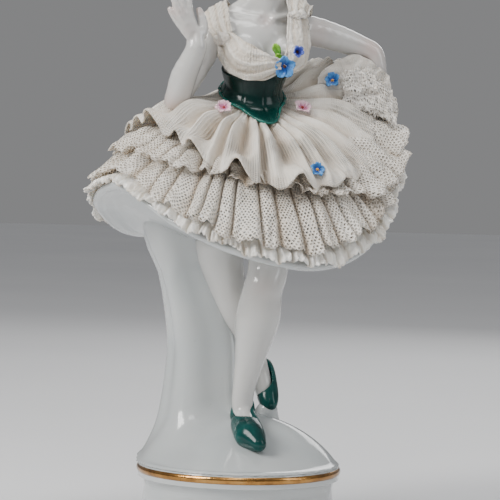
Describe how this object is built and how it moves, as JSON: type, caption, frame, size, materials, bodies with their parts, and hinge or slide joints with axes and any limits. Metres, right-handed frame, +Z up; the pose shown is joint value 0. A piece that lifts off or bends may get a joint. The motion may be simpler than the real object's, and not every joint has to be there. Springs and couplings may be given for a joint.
{
  "type": "porcelain figurine",
  "caption": "Porcelain dancer in a lace-dipped tiered skirt and laced bodice, posed on a round gilded plinth with a support column.",
  "frame": {"origin": "centre of the plinth's foot ring, in the plane it rests on", "axes": "+Z up, the dancer faces -Y, and +X is the dancer's left, where the skirt is lifted"},
  "size_m": [0.1119, 0.1051, 0.2149],
  "materials": {
    "glazed_white": "clear high-gloss glaze over cool white porcelain, with tiny dark pits",
    "tinted_skin": "clear gloss glaze over white porcelain, blushed pale pink at joints and cheeks",
    "lace": "fired net dipped in slip: warm ivory, satin, pierced with a fine mesh of holes",
    "dark_green": "hand-painted dark green overglaze enamel, high gloss",
    "burnished_gold": "burnished gilding, a little worn",
    "hair_brown": "hand-painted brown overglaze enamel with brushed strands",
    "petal_blue": "hand-painted blue enamel, paler towards the petal's edge",
    "petal_violet": "hand-painted violet-blue enamel",
    "petal_pink": "hand-painted pale pink enamel",
    "leaf_green": "hand-painted leaf-green enamel",
    "flower_eye": "hand-painted red-brown enamel dot"
  },
  "bodies": {
    "root": {"plinth": "glazed_white", "gilded_bead": "burnished_gold", "mound": "glazed_white", "support_column": "glazed_white", "right_leg": "tinted_skin", "left_leg": "tinted_skin", "right_shoe": "dark_green", "left_shoe": "dark_green", "right_heel_pad": "glazed_white", "skirt_form": "glazed_white", "lower_flounce": "lace", "middle_flounce": "lace", "overskirt": "lace", "hem_ruffle": "lace", "lifted_lace": "lace", "body": "tinted_skin", "bodice": "dark_green", "bodice_edge": "dark_green", "head": "tinted_skin", "hair": "hair_brown", "hair_bun": "hair_brown", "hair_ribbon": "dark_green", "right_arm": "tinted_skin", "right_hand": "tinted_skin", "left_arm": "tinted_skin", "left_hand": "tinted_skin", "right_shoulder_drape": "lace", "left_shoulder_drape": "lace", "right_bust_drape": "lace", "left_bust_drape": "lace", "bust_blue_flower": "petal_blue", "bust_violet_flower": "petal_violet", "bust_leaves": "leaf_green", "skirt_blue_flower_front": "petal_blue", "skirt_blue_flower_side": "petal_blue", "skirt_pink_flower_right": "petal_pink", "skirt_pink_flower_left": "petal_pink", "flower_eyes": "flower_eye"}
  },
  "joints": []
}
